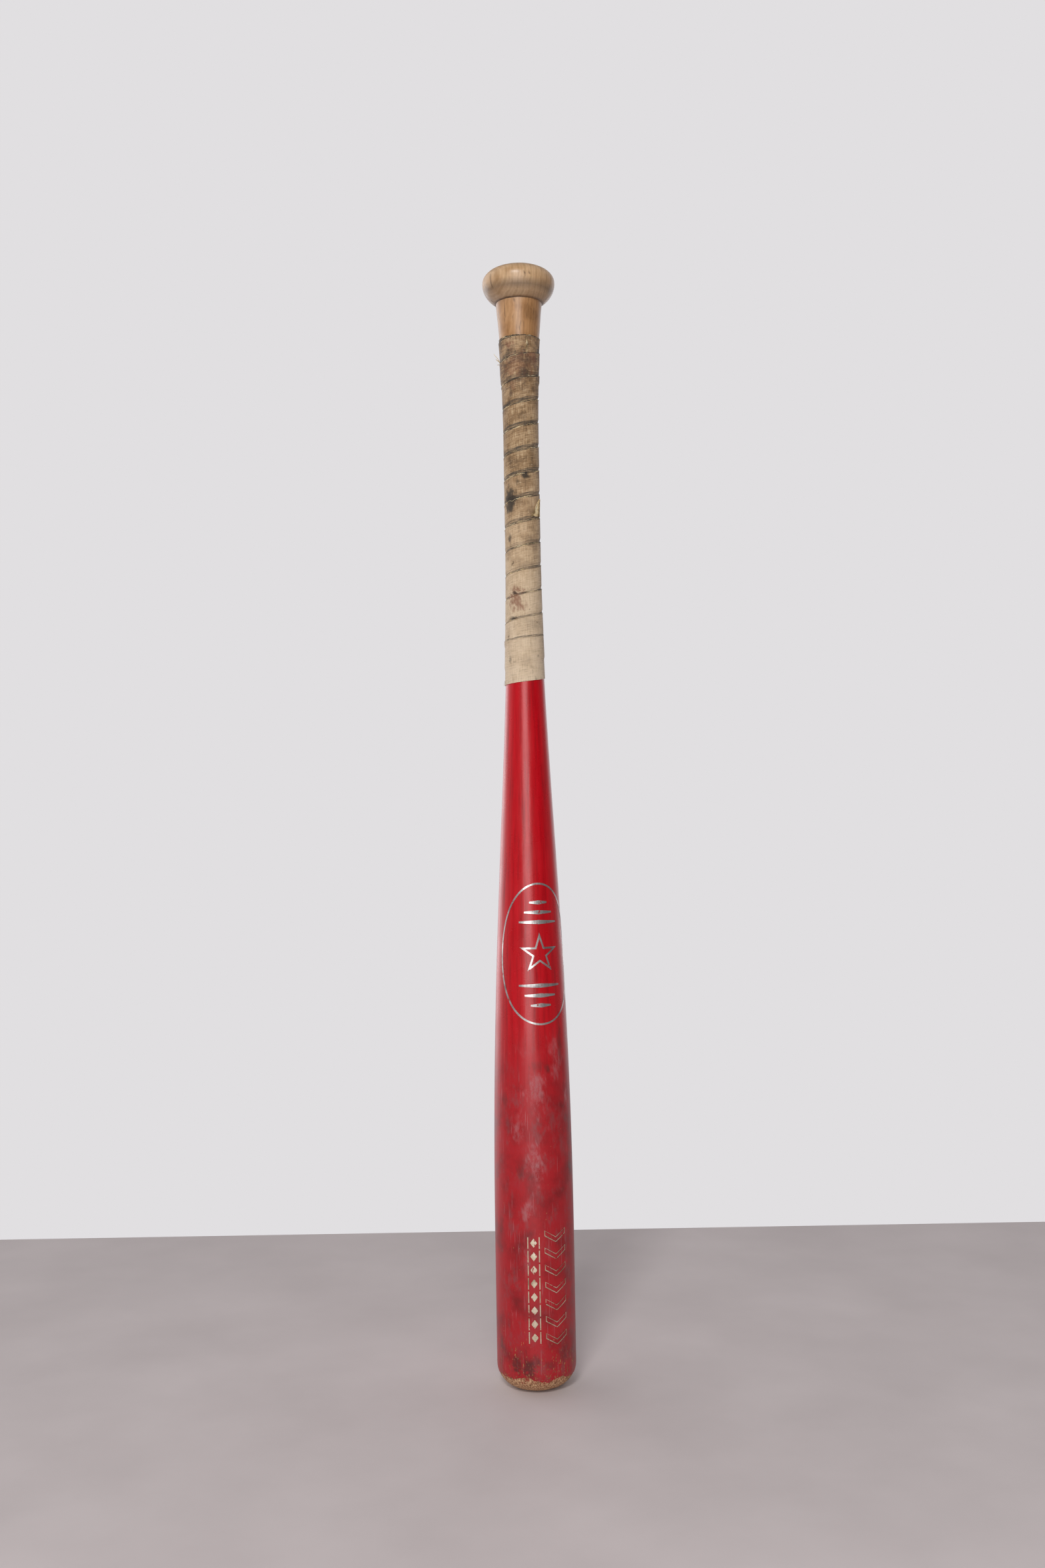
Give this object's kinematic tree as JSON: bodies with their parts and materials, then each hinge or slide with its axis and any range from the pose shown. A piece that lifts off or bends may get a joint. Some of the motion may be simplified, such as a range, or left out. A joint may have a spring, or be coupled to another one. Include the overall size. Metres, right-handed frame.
{
  "type": "softball bat",
  "caption": "Turned wooden softball bat with a rounded knob, a cloth-taped handle and a red lacquered barrel with silver foil marks.",
  "frame": {"origin": "centre of the flat on the barrel end, which is the lowest face", "axes": "+Z along the bat's axis towards the knob; -Y is the side that the foil marks face; +X is to the right of that side"},
  "size_m": [0.0572, 0.0574, 0.813],
  "materials": {
    "varnished_ash": "ash under old amber varnish, bare and worn at the barrel end",
    "red_lacquer": "gloss red lacquer on wood, scuffed towards the end",
    "silver_foil": "hot-stamped silver foil",
    "cotton_tape": "woven cotton friction tape, darkened by use"
  },
  "bodies": {
    "root": {"turned_wood_body": "varnished_ash", "red_lacquer_coat": "red_lacquer", "foil_oval_ring": "silver_foil", "foil_star_and_bars": "silver_foil", "foil_chevron_row": "silver_foil", "foil_pinstripes": "silver_foil", "tape_anchor_turn": "cotton_tape", "tape_spiral_wrap": "cotton_tape"}
  },
  "joints": []
}
